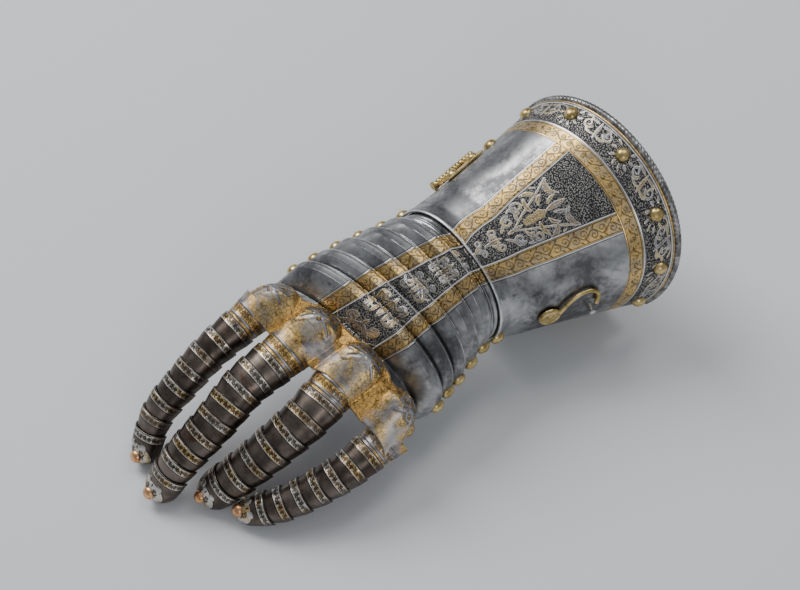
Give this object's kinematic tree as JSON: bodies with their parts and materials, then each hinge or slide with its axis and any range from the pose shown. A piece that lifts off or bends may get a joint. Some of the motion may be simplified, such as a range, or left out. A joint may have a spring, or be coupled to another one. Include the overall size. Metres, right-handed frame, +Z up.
{
  "type": "armoured gauntlet",
  "caption": "Etched and gilt steel gauntlet for a left hand, with hinged flared cuff, sliding hand plates and scaled fingers on leather, resting palm down.",
  "frame": {"origin": "centre of the bounding box's underside, on the surface the gauntlet lies on", "axes": "+Z up, +Y from the fingers toward the cuff, +X toward the little finger's side"},
  "size_m": [0.1331, 0.2975, 0.1119],
  "materials": {
    "steel": "satin",
    "gilt": "satin",
    "russet": "satin",
    "leather": "matte",
    "brass": "satin"
  },
  "bodies": {
    "cuff_outer": {"cuff_outer": "steel", "hinge_upper": "brass"},
    "cuff_inner": {"cuff_inner": "steel", "hinge_lower": "brass"},
    "pivot_hook": {"pivot_hook": "brass"},
    "wrist_lame": {"wrist_lame": "steel"},
    "lame_a": {"lame_a": "steel"},
    "lame_b": {"lame_b": "steel"},
    "lame_c": {"lame_c": "steel"},
    "lame_d": {"lame_d": "steel"},
    "metacarpal_plate": {"metacarpal_plate": "steel"},
    "knuckles": {"knuckle_plate": "gilt", "index_scale_1": "russet", "index_scale_2": "russet", "index_scale_3": "russet", "index_scale_4": "russet", "index_scale_5": "russet", "index_scale_6": "russet", "index_scale_7": "russet", "index_tip": "russet", "index_strap": "leather", "middle_scale_1": "russet", "middle_scale_2": "russet", "middle_scale_3": "russet", "middle_scale_4": "russet", "middle_scale_5": "russet", "middle_scale_6": "russet", "middle_scale_7": "russet", "middle_scale_8": "russet", "middle_tip": "russet", "middle_strap": "leather", "ring_scale_1": "russet", "ring_scale_2": "russet", "ring_scale_3": "russet", "ring_scale_4": "russet", "ring_scale_5": "russet", "ring_scale_6": "russet", "ring_tip": "russet", "ring_strap": "leather", "little_scale_1": "russet", "little_scale_2": "russet", "little_scale_3": "russet", "little_scale_4": "russet", "little_scale_5": "russet", "little_scale_6": "russet", "little_tip": "russet", "little_strap": "leather"}
  },
  "joints": [
    {"name": "wrist_pivot", "type": "hinge", "parent": "cuff_outer", "child": "wrist_lame", "pos_m": [-0.0072, 0.0418, 0.0545], "axis": [0.951, 0.0127, -0.309], "range_deg": [0, 4]},
    {"name": "lame_a_pivot", "type": "hinge", "parent": "wrist_lame", "child": "lame_a", "pos_m": [-0.0086, 0.0307, 0.0535], "axis": [0.9551, 0.0496, -0.292], "range_deg": [0, 4]},
    {"name": "lame_b_pivot", "type": "hinge", "parent": "lame_a", "child": "lame_b", "pos_m": [-0.0088, 0.0191, 0.0525], "axis": [0.959, 0.0691, -0.275], "range_deg": [0, 4]},
    {"name": "lame_c_pivot", "type": "hinge", "parent": "lame_b", "child": "lame_c", "pos_m": [-0.0086, 0.0071, 0.0515], "axis": [0.9623, 0.0861, -0.2579], "range_deg": [0, 4]},
    {"name": "lame_d_pivot", "type": "hinge", "parent": "lame_c", "child": "lame_d", "pos_m": [-0.0087, -0.0039, 0.0505], "axis": [0.9629, 0.1233, -0.2401], "range_deg": [0, 4]},
    {"name": "metacarpal_pivot", "type": "hinge", "parent": "lame_d", "child": "metacarpal_plate", "pos_m": [-0.0085, -0.0144, 0.0485], "axis": [0.9639, 0.1461, -0.2225], "range_deg": [0, 4]},
    {"name": "knuckle_pivot", "type": "hinge", "parent": "metacarpal_plate", "child": "knuckles", "pos_m": [-0.0109, -0.0356, 0.0425], "axis": [0.9661, 0.1771, -0.1878], "range_deg": [0, 4]},
    {"name": "cuff_hinge", "type": "hinge", "parent": "cuff_outer", "child": "cuff_inner", "pos_m": [-0.05109, 0.08053, 0.06949], "axis": [-0.0916, 0.9946, 0.0482], "range_deg": [0, 25]},
    {"name": "hook_pivot", "type": "hinge", "parent": "cuff_outer", "child": "pivot_hook", "pos_m": [0.04096, 0.06957, 0.04809], "axis": [0.9457, -0.3241, -0.0263], "range_deg": [0, 60]}
  ]
}
